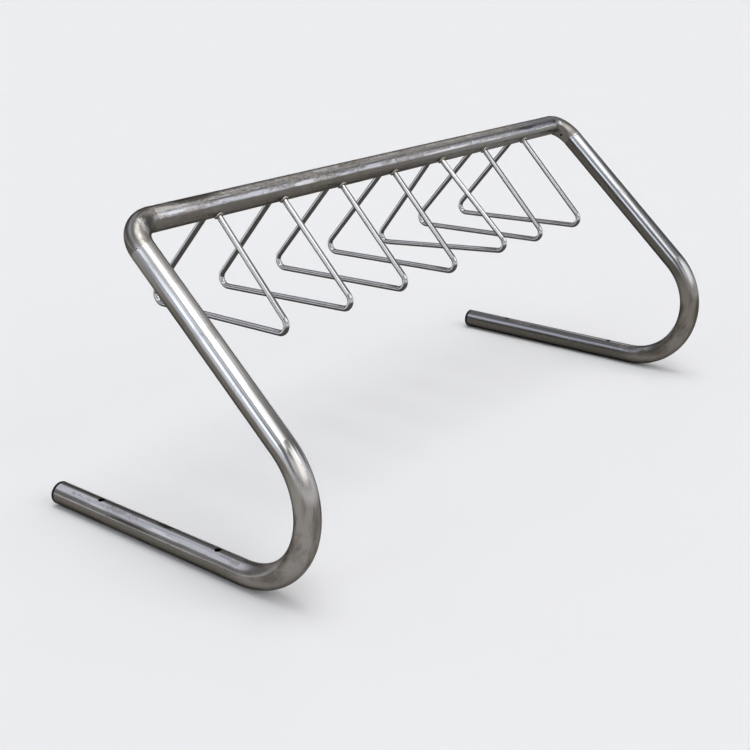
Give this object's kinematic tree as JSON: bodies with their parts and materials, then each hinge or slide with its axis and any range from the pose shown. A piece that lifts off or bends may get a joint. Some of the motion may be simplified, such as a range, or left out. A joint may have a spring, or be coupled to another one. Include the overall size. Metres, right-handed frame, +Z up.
{
  "type": "floor bike rack",
  "caption": "Floor-standing cycle rack: bent stainless tube side frames carry a level bar with hanging triangular wheel hoops; drilled feet bolt to the ground.",
  "frame": {"origin": "middle of the rack's footprint, on the floor under the middle of its bounding box", "axes": "+X along the top bar to the right, +Y from the bends of the feet back to their open ends, +Z up"},
  "size_m": [1.5486, 0.7122, 0.6507],
  "materials": {
    "frame_tube": "bare stainless tube, drawn finish, satin with bright streaks, brown-grey below",
    "bar_tube": "bare stainless tube, scuffed and mottled along its top",
    "hoop_rod": "bare stainless round bar, bright drawn finish",
    "weld_metal": "brushed-back weld bead, fine ripples, slight heat tint",
    "black_insert": "matte black moulded plastic"
  },
  "bodies": {
    "root": {"top_bar": "bar_tube", "side_frame_left": "frame_tube", "corner_elbow_left": "frame_tube", "leg_weld_left": "weld_metal", "bar_weld_left": "weld_metal", "end_plug_left": "black_insert", "side_frame_right": "frame_tube", "corner_elbow_right": "frame_tube", "leg_weld_right": "weld_metal", "bar_weld_right": "weld_metal", "end_plug_right": "black_insert", "hoop_1": "hoop_rod", "hoop_1_front_weld": "weld_metal", "hoop_1_rear_weld": "weld_metal", "hoop_2": "hoop_rod", "hoop_2_front_weld": "weld_metal", "hoop_2_rear_weld": "weld_metal", "hoop_3": "hoop_rod", "hoop_3_front_weld": "weld_metal", "hoop_3_rear_weld": "weld_metal", "hoop_4": "hoop_rod", "hoop_4_front_weld": "weld_metal", "hoop_4_rear_weld": "weld_metal", "hoop_5": "hoop_rod", "hoop_5_front_weld": "weld_metal", "hoop_5_rear_weld": "weld_metal", "hoop_6": "hoop_rod", "hoop_6_front_weld": "weld_metal", "hoop_6_rear_weld": "weld_metal", "hoop_7": "hoop_rod", "hoop_7_front_weld": "weld_metal", "hoop_7_rear_weld": "weld_metal"}
  },
  "joints": []
}
